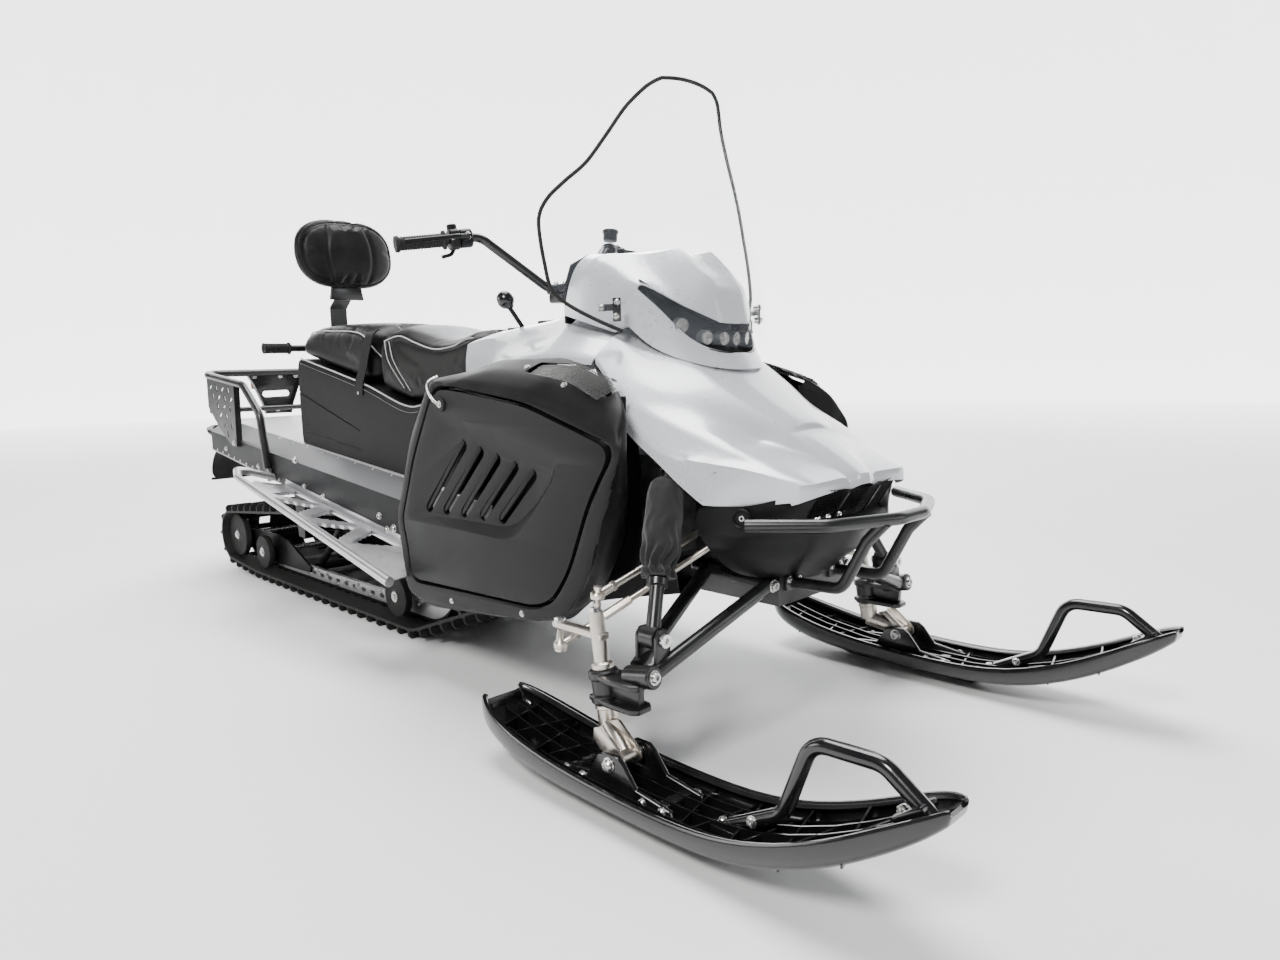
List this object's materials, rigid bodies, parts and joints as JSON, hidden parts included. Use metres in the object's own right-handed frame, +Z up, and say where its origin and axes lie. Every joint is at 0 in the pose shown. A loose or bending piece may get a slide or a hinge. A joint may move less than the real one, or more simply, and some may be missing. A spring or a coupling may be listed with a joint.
{
  "type": "utility snowmobile",
  "caption": "Utility snowmobile with a two-up seat and backrest, tall windshield, rear cargo rack, A-arm front suspension, plastic skis and a wide track.",
  "frame": {"origin": "ground level under the middle of the machine's length and width", "axes": "+X towards the ski tips, +Y to the rider's left, +Z up"},
  "size_m": [3.2613, 1.147, 1.3704],
  "materials": {
    "body_white": "pale silver-white gloss moulding",
    "moulding": "black grained moulding",
    "tunnel_paint": "grey coated sheet, pale on the deck",
    "aluminium_rail": "bare aluminium",
    "black_tube": "black powder coat",
    "zinc": "zinc plate",
    "ski_plastic": "glossy black moulded ski",
    "vinyl": "black grained vinyl over foam",
    "rubber": "black rubber",
    "cloth": "black woven cover over a coil spring",
    "screen": "clear moulded sheet",
    "engine": "grey casting",
    "lamp_red": "red lens"
  },
  "bodies": {
    "chassis": {"a_arm_left": "black_tube", "a_arm_right": "black_tube", "backrest_pad": "vinyl", "backrest_post": "black_tube", "belly_pan": "moulding", "bulkhead": "black_tube", "console": "body_white", "dash": "moulding", "drive_axle": "engine", "engine_block": "engine", "front_bogie_wheels": "moulding", "front_bumper": "black_tube", "gear_lever": "moulding", "headlight_pod": "body_white", "hood": "body_white", "idler_carrier_left": "black_tube", "idler_carrier_right": "black_tube", "idler_wheels": "moulding", "nose": "moulding", "passenger_handle": "rubber", "rack_bracket": "black_tube", "rack_rail": "black_tube", "rear_bogie_wheels": "moulding", "rear_bumper": "black_tube", "running_board_left": "aluminium_rail", "running_board_right": "aluminium_rail", "seat_base": "moulding", "seat_front_cushion": "vinyl", "seat_rear_cushion": "vinyl", "shock_left": "cloth", "shock_right": "cloth", "side_cover_left": "moulding", "side_cover_right": "moulding", "slide_rails": "aluminium_rail", "snow_flap": "rubber", "tail_lamp": "lamp_red", "track": "rubber", "track_arm_front": "black_tube", "track_arm_rear": "black_tube", "track_shock": "moulding", "tunnel": "tunnel_paint", "upper_link_left": "zinc", "upper_link_right": "zinc", "windshield": "screen"},
    "steering": {"handlebar": "black_tube", "grip_right": "rubber", "grip_left": "rubber", "control_right": "moulding", "control_left": "moulding"},
    "door_right": {"side_door_right": "moulding"},
    "door_left": {"side_door_left": "moulding"},
    "ski_right": {"ski_right": "ski_plastic", "spindle_right": "zinc"},
    "ski_left": {"ski_left": "ski_plastic", "spindle_left": "zinc"},
    "tie_rod_right": {"tie_rod_right": "zinc"},
    "tie_rod_left": {"tie_rod_left": "zinc"}
  },
  "joints": [
    {"name": "steering", "type": "hinge", "parent": "chassis", "child": "steering", "pos_m": [0.341, 0, 0.945], "axis": [-0.5299, 0, 0.848], "range_deg": [-36, 36]},
    {"name": "door_right", "type": "hinge", "parent": "chassis", "child": "door_right", "pos_m": [0.881, -0.385, 0.6], "axis": [0.4731, 0, 0.881], "range_deg": [0, 70]},
    {"name": "door_left", "type": "hinge", "parent": "chassis", "child": "door_left", "pos_m": [0.881, 0.385, 0.6], "axis": [-0.4731, 0, -0.881], "range_deg": [0, 70]},
    {"name": "ski_steer_right", "type": "hinge", "parent": "chassis", "child": "ski_right", "pos_m": [0.936, -0.45, 0.187], "axis": [-0.1513, 0, 0.9885], "range_deg": [-28.5, 28.5]},
    {"name": "tie_rod_turn_right", "type": "hinge", "parent": "ski_right", "child": "tie_rod_right", "pos_m": [0.8134, -0.452, 0.262], "axis": [-0.1513, 0, 0.9885], "range_deg": [-28.5, 28.5]},
    {"name": "ski_steer_left", "type": "hinge", "parent": "chassis", "child": "ski_left", "pos_m": [0.936, 0.45, 0.187], "axis": [-0.1513, 0, 0.9885], "range_deg": [-28.5, 28.5]},
    {"name": "tie_rod_turn_left", "type": "hinge", "parent": "ski_left", "child": "tie_rod_left", "pos_m": [0.8134, 0.452, 0.262], "axis": [-0.1513, 0, 0.9885], "range_deg": [-28.5, 28.5]}
  ],
  "couplings": [
    {"joint": "ski_steer_right", "follows": "steering", "ratio": 0.78},
    {"joint": "tie_rod_turn_right", "follows": "steering", "ratio": -0.78},
    {"joint": "ski_steer_left", "follows": "steering", "ratio": 0.78},
    {"joint": "tie_rod_turn_left", "follows": "steering", "ratio": -0.78}
  ]
}
